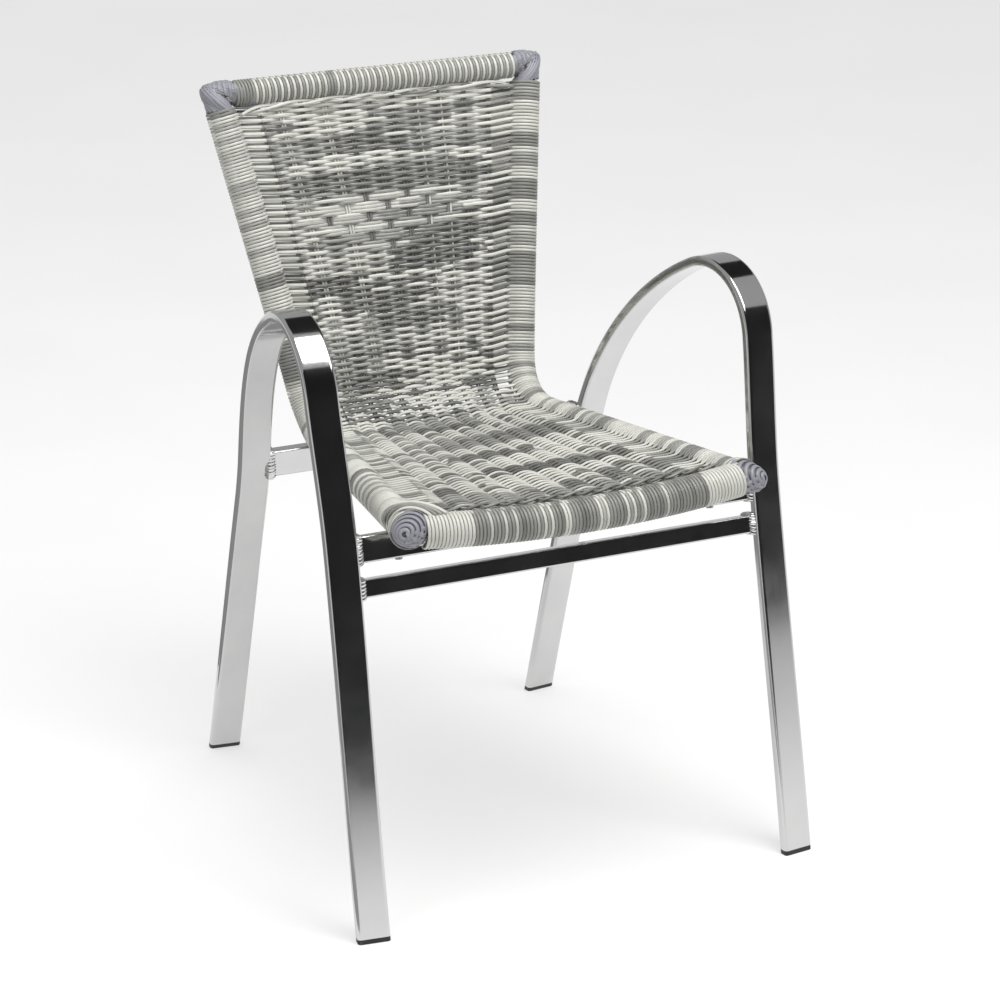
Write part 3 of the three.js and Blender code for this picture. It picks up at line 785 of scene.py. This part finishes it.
def joined(first_run, second_run):
    """The short stretch of strand between a row and a turn round the rail, curved to meet both."""
    (first, first_out, first_spread), (second, second_out, second_spread) = first_run, second_run
    start, end = first[:, -1], second[:, 0]
    span = np.linalg.norm(end - start, axis=-1, keepdims=True)
    start_way = first[:, -1] - first[:, -2]
    end_way = second[:, 1] - second[:, 0]
    reach = span * (seat_reach - (seat_reach - back_reach) * into_back(rows))
    start_way *= reach / np.linalg.norm(start_way, axis=-1, keepdims=True)
    end_way *= reach / np.linalg.norm(end_way, axis=-1, keepdims=True)
    at = hermite(start, start_way, end, end_way, entry)
    out = first_out[:, -1:] * (1 - entry)[None, :, None] + second_out[:, :1] * entry[None, :, None]
    spread = first_spread[:, -1:] * (1 - entry)[None] + second_spread[:, :1] * entry[None]
    return at, out, spread


mirror = np.array([-1.0, 1.0, 1.0])
over_run = weft(rows, 0)
under_run = tuple(part[:, ::-1] for part in weft(rows + row_pitch, 1))
under_run = (under_run[0], -under_run[1], under_run[2])
next_run = weft(rows + 2 * row_pitch, 0)
left_run = wraps(rows, row_pitch)
right_run = tuple(part[:, ::-1] for part in wraps(rows + 2 * row_pitch, -row_pitch))
right_run = (right_run[0] * mirror, right_run[1] * mirror, right_run[2])
next_start = tuple(part[:, :1] for part in next_run)
runs = [
    over_run, joined(over_run, left_run), left_run, joined(left_run, under_run), under_run,
    joined(under_run, right_run), right_run, joined(right_run, next_run), next_start,
]
course, course_out, course_spread = (np.concatenate([run[k] for run in runs], 1) for k in range(3))
parts = np.concatenate([np.full(run[0].shape[1], number) for number, run in enumerate(runs)])


def flat_oval(bm, width, thick, sides=6):
    bmesh.ops.create_circle(bm, cap_ends=True, radius=0.5, segments=sides)
    bmesh.ops.scale(bm, vec=(width, thick, 1), verts=bm.verts)


def strands(name, centres, outs, tones, width=cane_width, thick=cane_thick, spread=None):
    """Strands of cane bent along their centre lines, flat side out, with their tone and their run."""
    count, rings = centres.shape[:2]
    bar = stock(rings - 1, flat_oval, width, thick)
    template = corners_of(bar)
    bundle = bmesh.new()
    for _ in range(count):
        bundle.from_mesh(bar)
    mesh = bpy.data.meshes.new(name)
    bundle.to_mesh(mesh)
    bundle.free()
    ring = np.rint(template[:, 2] * (rings - 1)).astype(int)
    ahead = np.gradient(centres, axis=1)
    ahead /= np.linalg.norm(ahead, axis=-1, keepdims=True)
    outs = outs - ahead * np.sum(outs * ahead, -1, keepdims=True)
    outs /= np.linalg.norm(outs, axis=-1, keepdims=True)
    beside = np.cross(ahead, outs)
    if spread is not None:
        beside = beside * spread[..., None]
    at = centres[:, ring] + beside[:, ring] * template[:, 0, None] + outs[:, ring] * template[:, 1, None]
    moved_to(mesh, at.reshape(-1, 3))
    length = np.cumsum(np.linalg.norm(np.diff(centres, axis=1, prepend=centres[:, :1]), axis=-1), 1)
    for label, values in (
        ("cane_tone", tones[:, ring]),
        ("cane_run", length[:, ring] + np.arange(count)[:, None] * 1.37),
        ("cane_side", np.broadcast_to(template[:, 0] / (width / 2), (count, len(template)))),
    ):
        attribute = mesh.attributes.new(label, "FLOAT", "POINT")
        attribute.data.foreach_set("value", values.astype(np.float32).ravel())
    return mesh


patch_rows, patch_wide = 6, 0.105


def dyed(distance, across_at):
    """The tone of the cane: patches of a few rows by a hand's breadth, with ragged ends and stray rows."""
    row = np.floor((distance - first_row) / row_pitch + 0.25).astype(int)
    patch = np.floor(row / patch_rows + 0.7 * scatter(np.floor(across_at / 0.3), 7)).astype(int)
    ragged = 2.6 * scatter(patch, 3) + 0.55 * scatter(row, 5)
    cell = np.floor(across_at / patch_wide + ragged).astype(int)
    stray = scatter(row, cell, 23)
    return np.where(stray > 0.72, scatter(row, cell, 29), scatter(cell, patch, 11))


distance_of = rows[:, None] + row_pitch * (parts >= 3)[None] + row_pitch * (parts >= 7)[None]
course_tone = dyed(distance_of + 0 * course[..., 0], course[..., 0])
turn_row = np.rint(distance_of / row_pitch).astype(int)
turn_side = (parts > 4).astype(int)[None]
turn_tone = np.where((turn_side == 1) & (distance_of > waist_at), 0.45, 0.20)
turn_tone = turn_tone + (1 - turn_tone) * scatter(turn_row, turn_side, 31)
turn_tone = np.where(scatter(turn_row // 4, turn_side, 37) > 0.82, 0.25, turn_tone)
course_tone = np.where(np.isin(parts, (1, 2, 3, 5, 6, 7))[None], turn_tone, course_tone)


def dyed_cane(wire):
    tone = wire.take("ShaderNodeAttribute", "Fac", {"attribute_name": "cane_tone"})
    run = wire.take("ShaderNodeAttribute", "Fac", {"attribute_name": "cane_run"})
    side = wire.take("ShaderNodeAttribute", "Fac", {"attribute_name": "cane_side"})
    spot = wire.take("ShaderNodeCombineXYZ", 0, X=run * 14, Y=side * 2.2, Z=tone * 9)
    streaks = wire.take("ShaderNodeTexNoise", "Fac", Vector=spot, Scale=1.0, Detail=4.0, Roughness=0.6)
    place = wire.take("ShaderNodeTexCoord", "Object")
    dust = wire.take("ShaderNodeTexNoise", "Fac", Vector=place, Scale=55.0, Detail=3.0)
    dye = wire.take("ShaderNodeValToRGB", "Color", {"stops": (
        (0.00, (0.105, 0.105, 0.097)),
        (0.20, (0.165, 0.165, 0.152)),
        (0.32, (0.240, 0.240, 0.222)),
        (0.48, (0.295, 0.295, 0.272)),
        (0.54, (0.440, 0.440, 0.402)),
        (0.70, (0.505, 0.505, 0.462)),
        (1.00, (0.550, 0.550, 0.503)),
    )}, Fac=tone + (streaks - 0.5) * 0.22)
    shade = (streaks * 0.5 + dust * 0.5 - 0.5) * 0.8 + 0.5
    grooves = wire.sum_of("SINE", side * 9.0) * 0.5
    return {
        "Base Color": wire.take(
            "ShaderNodeMix", 2, {"data_type": "RGBA", "blend_type": "OVERLAY"},
            _0=0.55, _6=dye, _7=wire.take("ShaderNodeCombineColor", 0, Red=shade, Green=shade, Blue=shade),
        ),
        "Roughness": streaks * 0.2 + 0.32,
        "Normal": wire.take("ShaderNodeBump", 0, Strength=0.35, Distance=0.0004, Height=grooves + streaks),
    }


cane = finish_of("dyed_cane", dyed_cane)
on_seat = rows < waist_at
side_windings = ("left_side_winding", "right_side_winding")
for name, chosen, slot, sheet_node in (
    ("woven_seat", on_seat, "grey_cane", "seat_weave"),
    ("woven_back", ~on_seat, "white_cane", "back_weave"),
):
    lines = course[chosen], course_out[chosen], course_tone[chosen]
    woven = strands(name, *lines, spread=course_spread[chosen])
    fitted(name, woven, cane, slot, sheet_node, *side_windings)


# Stakes: eleven pairs of cane from the front rail to the top rail, which the rows are woven round. Each
# pair has one dye for its whole length, apart from two pairs of one dark and one pale strand.
stake_width, stake_thick, stake_apart = 0.0029, 0.0019, 0.0033
stake_low, stake_high = 0.0165, 0.7545
stake_tones = (0.2, 0.9, 0.1, 0.95, 0.15, 0.2, 0.12, 0.85, 0.85, 0.2, 0.15)
stake_marks = np.linspace(0, 1, 120)
stake_at, stake_out, stake_tone = [], [], []
for column, tone in zip(columns, stake_tones):
    start = stake_low - front_bow * (1 - column * column)
    distance = start + (stake_high - start) * stake_marks
    for beside in (-stake_apart / 2, stake_apart / 2):
        at = sheet(distance, column + drift(distance, column), 0 * distance)
        at[:, 0] += beside
        darker = beside < 0 and 0.8 < tone < 0.9
        stake_at.append(at)
        stake_out.append(sheet_normal(distance))
        stake_tone.append(np.full(len(at), tone * 0.25 if darker else tone))
stake_lines = np.array(stake_at), np.array(stake_out), np.array(stake_tone)
stakes = strands("double_stakes", *stake_lines, stake_width, stake_thick)
fitted("double_stakes", stakes, cane, "grey_cane", *(f"warp_stake_{n}" for n in range(1, stake_count + 1)))


# Front and top windings: one strand wound tight round each cross rail, turn beside turn. The front one
# changes from white to greys and back. The top one alternates a white turn with a grey one.
wind_thick = 0.0021
front_wind_radius, top_wind_radius = 0.0191, 0.0153


class CrossRail:
    """A rail across the chair, bowed forward and down in its middle."""

    def __init__(self, half, y, z, bow, sag):
        self.half, self.y, self.z, self.bow, self.sag = half, y, z, bow, sag

    def centre(self, x):
        middle = 1 - (x / self.half) ** 2
        return np.stack([x, self.y - self.bow * middle, self.z - self.sag * middle], -1)

    def ways(self, x):
        along = self.centre(x + 0.0003) - self.centre(x - 0.0003)
        along /= np.linalg.norm(along, axis=-1, keepdims=True)
        up = np.array([0, 0, 1.0]) - along * along[..., 2:]
        up /= np.linalg.norm(up, axis=-1, keepdims=True)
        return along, up, np.cross(along, up)

    def wound(self, start, end, pitch, radius, steps=18):
        """Centre line and outer side of a strand wound from one end to the other."""
        count = int(round((end - start) / pitch))
        share = np.linspace(0, 1, count * steps + 1)
        x = start + (end - start) * share
        angle = 2 * math.pi * count * share
        _, up, back = self.ways(x)
        away = up * np.cos(angle)[:, None] + back * np.sin(angle)[:, None]
        return self.centre(x) + away * radius, away, np.floor(share * count - 1e-9).astype(int)


top_y, top_z, _ = (float(v) for v in rail_path.at(rail_path.length))
corner_rise = 0.005
front_rail = CrossRail(half_front, rail_front[0], rail_front[1], front_bow, front_sag)
top_rail = CrossRail(half_top, top_y, top_z + corner_rise, 0.0, 0.0)

front_at, front_out, front_turn = front_rail.wound(
    start=-0.1820, end=0.1885, pitch=0.0040, radius=front_wind_radius - wind_thick / 2
)
front_bands = np.array([
    9, 9, 9, 9, 9, 9, 9, 9, 9, 9, 9, 9, 9, 3, 3, 3, 3, 6, 3, 4, 3, 6, 3, 3, 6, 3, 2, 3, 3, 3, 5, 3, 9, 4,
    9, 3, 3, 2, 9, 9, 4, 3, 3, 2, 2, 3, 3, 3, 9, 5, 9, 3, 3, 3, 3, 2, 9, 4, 9, 3, 4, 9, 3, 2, 3, 3, 2, 3,
    6, 3, 3, 3, 2, 3, 3, 3, 2, 3, 3, 3, 2, 9, 9, 9, 9, 9, 9, 9, 9, 9, 9, 9, 9, 9,
]) / 10
band_of_turn = front_turn * len(front_bands) // (front_turn.max() + 1)
front_tone = front_bands[np.clip(band_of_turn, 0, len(front_bands) - 1)]
front_lines = front_at[None], front_out[None], front_tone[None]
front_wind = strands("front_rail_winding", *front_lines, width=0.0038, thick=wind_thick)
fitted("front_rail_winding", front_wind, cane, "grey_cane", "front_winding")

top_at, top_out, top_turn = top_rail.wound(
    start=-0.1725, end=0.1725, pitch=0.0038, radius=top_wind_radius - wind_thick / 2
)
top_tone = np.where(top_turn % 2 == 0, 0.95, 0.26 + 0.16 * scatter(top_turn, 3))
top_tone = np.where((top_turn < 5) | np.isin(top_turn, (30, 31)), 0.30, top_tone)
top_lines = top_at[None], top_out[None], top_tone[None]
top_wind = strands("top_rail_winding", *top_lines, width=0.0036, thick=wind_thick)
fitted("top_rail_winding", top_wind, cane, "white_cane", "top_winding")


# Edge ropes: two strands twisted round each other close off the weave under the top rail and behind the
# front rail.
def rope(centres, outs, besides, half_turns, radius):
    """Two strands that twist round one line, with their outer sides."""
    made, sides = [], []
    angle = math.pi * half_turns * np.linspace(0, 1, len(centres))
    for start in (0, math.pi):
        swing = outs * np.cos(angle + start)[:, None] + besides * np.sin(angle + start)[:, None]
        made.append(centres + swing * radius)
        sides.append(outs + swing * 0.4)
    return np.array(made), np.array(sides)


rope_side = np.linspace(-0.985, 0.985, 260)


def up_the_sheet(edge):
    """The way up the sheet at each point of an edge."""
    way = sheet(edge + 0.001, rope_side, 0 * rope_side) - sheet(edge, rope_side, 0 * rope_side)
    return way / np.linalg.norm(way, axis=-1, keepdims=True)


top_edge = 0.7540 - 0.008 * np.abs(rope_side) ** 8
top_rope_at = sheet(top_edge, rope_side, 0.0042 - 0.003 * np.abs(rope_side) ** 8)
top_rope, top_rope_out = rope(
    top_rope_at, sheet_normal(top_edge), up_the_sheet(top_edge), half_turns=7, radius=0.0023
)
top_rope_tone = np.array([0.92 + 0 * rope_side, np.where(rope_side > 0.1, 0.3, 0.9)])

front_edge = row_at(0.0190 + 0 * rope_side, rope_side)
front_rope_at = sheet(front_edge, rope_side, 0.0085 - 0.002 * np.abs(rope_side) ** 8)
front_rope, front_rope_out = rope(
    front_rope_at, sheet_normal(front_edge), up_the_sheet(front_edge), half_turns=16, radius=0.0017
)
# The front rope's strands are dark grey and near black: partly their own dark dye, partly painted shade of
# the recess behind the front winding.
front_rope_dye_and_shade = np.array([0.28 + 0 * rope_side, 0.10 + 0 * rope_side])
edge_ropes = strands(
    "edge_ropes",
    np.concatenate([top_rope, front_rope]),
    np.concatenate([top_rope_out, front_rope_out]),
    np.concatenate([top_rope_tone, front_rope_dye_and_shade]),
    width=0.0040,
    thick=0.0026,
)
fitted("edge_ropes", edge_ropes, cane, "white_cane")


# Corner caps: a cover plaited from darker cane, pulled over each corner where two rails meet. At the top
# two sets of strips cross round a bent core, and at the front a spiral crosses straight lanes on a dome.
def plaited_cane(wire):
    run = wire.take("ShaderNodeAttribute", "Fac", {"attribute_name": "cane_run"})
    side = wire.take("ShaderNodeAttribute", "Fac", {"attribute_name": "cane_side"})
    spot = wire.take("ShaderNodeCombineXYZ", 0, X=run * 40, Y=side * 3.0, Z=run * 3)
    streaks = wire.take("ShaderNodeTexNoise", "Fac", Vector=spot, Scale=1.0, Detail=4.0)
    lilac = streaks.mixed((0.165, 0.164, 0.188, 1), (0.300, 0.298, 0.330, 1))
    # Strips carry a tone of 1 and the core under them none, so the core shows near black between the
    # strips: painted shade in the gaps of the plait.
    strip_over_painted_shade = wire.take("ShaderNodeAttribute", "Fac", {"attribute_name": "cane_tone"})
    return {
        "Base Color": strip_over_painted_shade.mixed((0.075, 0.074, 0.088, 1), lilac),
        "Roughness": streaks * 0.2 + 0.26,
        "Normal": wire.take("ShaderNodeBump", 0, Strength=0.3, Distance=0.0004, Height=streaks),
    }


plait = finish_of("plaited_cane", plaited_cane)
strip_wide, strip_thick, strip_steps = 0.0052, 0.0017, 49
cap_radius, cap_from, cap_to = 0.01325, -0.031, 0.034
dome_wide, dome_high, dome_tip, dome_inset = 0.0188, 0.0178, 0.0330, 0.008


def unit(*way):
    way = np.array(way, float)
    return way / np.linalg.norm(way)


def round_core(steps, spot, ends):
    """The closed core under a plait: a round bar whose steps and girth a corner's own shape places."""
    core = stock(steps, flat_oval, 2.0, 2.0, 28)
    at = corners_of(core)
    past, angle = ends[0] + at[:, 2] * (ends[1] - ends[0]), np.arctan2(at[:, 1], at[:, 0])
    return moved_to(core, spot(past, angle, np.hypot(at[:, 0], at[:, 1]))[0])


def plaited(name, node, core, strips):
    """A plait laid on its core, as one piece."""
    centres, outs = (np.array([strip[k] for strip in strips]) for k in (0, 1))
    # The strips get a tone of 1 and the core none, so the plait's finish paints the core near black as
    # shade in the gaps.
    mesh = strands(name, centres, outs, np.ones(centres.shape[:2]), strip_wide, strip_thick)
    whole = bmesh.new()
    whole.from_mesh(mesh)
    whole.from_mesh(core)
    whole.to_mesh(mesh)
    whole.free()
    fitted(name, mesh, plait, "cap_cane", node)


def mitred_corner(side):
    """The top corner: a spot from its distance past the mitre and its angle, nought being outermost."""
    down = -rail_line.ways(np.array(rail_path.length))[0] * np.array([side, 1, 1])
    corner = rail_line.centre(np.array(rail_path.length + corner_rise)) * np.array([side, 1, 1])
    ahead = np.array([-side, 0, 0], float)
    out_ahead = unit(*(ahead * (down @ ahead) - down))
    out_down = unit(*(down * (down @ ahead) - ahead))
    front = unit(*np.cross(out_ahead, ahead)) * side
    seam = unit(*(out_ahead + out_down))
    lean = (seam @ ahead) / (seam @ out_ahead)

    def spot(past, angle, swell):
        past = np.where(past > 0, past * (0.6 + 0.4 * np.cos(angle)), past)
        before = (past < 0)[..., None]
        out = np.where(before, out_ahead, out_down)
        away = out * np.cos(angle)[..., None] + front * np.sin(angle)[..., None]
        girth = 1 + 0.12 * eased(-past, 0.012, 0.021) + 0.20 * eased(past, 0.0, 0.012)
        girth = girth - 0.09 * eased(past, 0.017, 0.022)
        radius = cap_radius * swell * girth * (1 - 0.17 * np.exp(-(past / 0.006) ** 2))
        along = np.abs(past) + radius * np.cos(angle) * lean
        return corner + np.where(before, ahead, down) * along[..., None] + away * radius[..., None], away

    return spot


for side, word in ((-1, "right"), (1, "left")):
    mitre_spot = mitred_corner(side)
    past = np.linspace(cap_from, cap_to, 36)
    strips = []
    for way, count, low in ((1, 16, 0.0), (-1, 16, -0.8)):
        for number in range(count):
            angle = 2 * math.pi * number / count + way * past / cap_radius * 0.8
            crest = low + (1.8 if number % 2 and way < 0 else 0.0) * np.exp(-(past / 0.004) ** 2)
            strips.append(mitre_spot(past, angle, 1.03 + 0.04 * crest))
    core = round_core(34, mitre_spot, (cap_from, cap_to))
    plaited(f"plaited_cap_top_{word}", f"{word}_top_cap", core, strips)


def domed_corner(side):
    """The front corner: a spot from its distance to the dome's pole and its angle, nought being level."""
    outward, level_way = unit(side, -1, 0), unit(-side, -1, 0)
    rise = np.array([0, 0, 1.0])
    corner = np.array([side * half_front, rail_front[0], rail_front[1] + 0.0015 - 0.001 * side])
    base = corner - outward * dome_inset

    def spot(far, angle, swell):
        polar = far * math.pi / 2
        level_share, rise_share = (f(angle)[..., None] * np.sin(polar)[..., None] for f in (np.cos, np.sin))
        tip_share = np.cos(polar)[..., None]
        at = level_way * level_share * dome_wide + rise * rise_share * dome_high
        at = at + outward * tip_share * dome_tip
        normal = level_way * level_share / dome_wide + rise * rise_share / dome_high
        normal = normal + outward * tip_share / dome_tip
        normal /= np.linalg.norm(normal, axis=-1, keepdims=True)
        return base + at * swell[..., None], normal

    return spot, base, outward, level_way


spiral_pitch, lane_pitch, lane_turn = 0.148, 0.225, -0.7
middle_x, middle_y = 0.10, 0.14
turned = np.linspace(0, 2 * math.pi, strip_steps)
for side, word in ((-1, "right"), (1, "left")):
    dome_spot = domed_corner(side)[0]
    strips = []
    for ring in range(6):
        far = 0.080 + spiral_pitch * (ring + turned / (2 * math.pi))
        x, y = far * np.cos(turned - 0.8) + middle_x, far * np.sin(turned - 0.8) + middle_y
        strips.append(dome_spot(np.hypot(x, y), np.arctan2(y, x), np.full(strip_steps, 1.030)))
    for lane in range(-5, 6):
        reach = np.linspace(0.10 + 0.10 * abs(lane), 1.02, strip_steps)
        x = reach * math.cos(lane_turn) - lane_pitch * lane * math.sin(lane_turn) + middle_x
        y = reach * math.sin(lane_turn) + lane_pitch * lane * math.cos(lane_turn) + middle_y
        lift = 0.035 * np.sin(math.pi * reach / spiral_pitch + math.pi * lane)
        strips.append(dome_spot(np.hypot(x, y), np.arctan2(y, x), 1.030 + lift))
    core = round_core(24, dome_spot, (0.02, 1.04))
    plaited(f"plaited_cap_front_{word}", f"{word}_front_cap", core, strips)


# First turns: each side winding starts right behind its front dome, with four turns of the same cane
# that no row follows. They widen towards the dome, whose rim they cover.
turn_wide, turn_pitch = 0.0036, 0.0038
turn_table = ((0.0030, 0.0200), (0.0068, 0.0197), (0.0106, 0.0190), (0.0144, 0.0181))
ring_angle = np.linspace(0, 2 * math.pi, 49)
for side, word in ((-1, "right"), (1, "left")):
    first_turns, first_outs = [], []
    for start, radius in turn_table:
        at = start + turn_pitch * ring_angle / (2 * math.pi)
        _, out, down = rail_line.ways(at)
        away = out * np.cos(ring_angle)[:, None] - down * np.sin(ring_angle)[:, None]
        flip = np.array([side, 1, 1])
        first_turns.append((rail_line.centre(at) + away * radius) * flip)
        first_outs.append(away * flip)
    ring_tone = np.array([0.30, 0.95, 0.40, 0.80])[:, None] + 0 * ring_angle[None]
    turn_lines = np.array(first_turns), np.array(first_outs), ring_tone
    turns_mesh = strands(f"first_turns_{word}", *turn_lines, turn_wide, wind_thick)
    fitted(f"first_turns_{word}", turns_mesh, cane, "white_cane")


# Slack turns: on the chair's right the cane takes four more turns round the front corner, behind the
# dome. They are drawn less tight than the rest, and each one further back is wider.
_, base, outward, level_way = domed_corner(-1)
rise = np.array([0, 0, 1.0])
turned = np.linspace(math.radians(40), math.radians(320), 70)
loops, loop_outs, loop_tones = [], [], []
for number, tone in enumerate((0.95, 0.30, 0.42, 0.95)):
    wide, high, back = 0.0255 + 0.0050 * number, 0.0202 + 0.0006 * number, 0.0020 + 0.0040 * number
    beside = level_way * (np.cos(turned) * wide)[:, None] + rise * (np.sin(turned) * high)[:, None]
    loops.append(base - outward * back + beside)
    loop_outs.append(beside / np.linalg.norm(beside, axis=-1, keepdims=True) + outward * 0.35)
    loop_tones.append(np.full(len(turned), tone))
slack_lines = np.array(loops), np.array(loop_outs), np.array(loop_tones)
slack = strands("slack_turns", *slack_lines, width=0.0042, thick=wind_thick)
fitted("slack_turns", slack, cane, "white_cane")
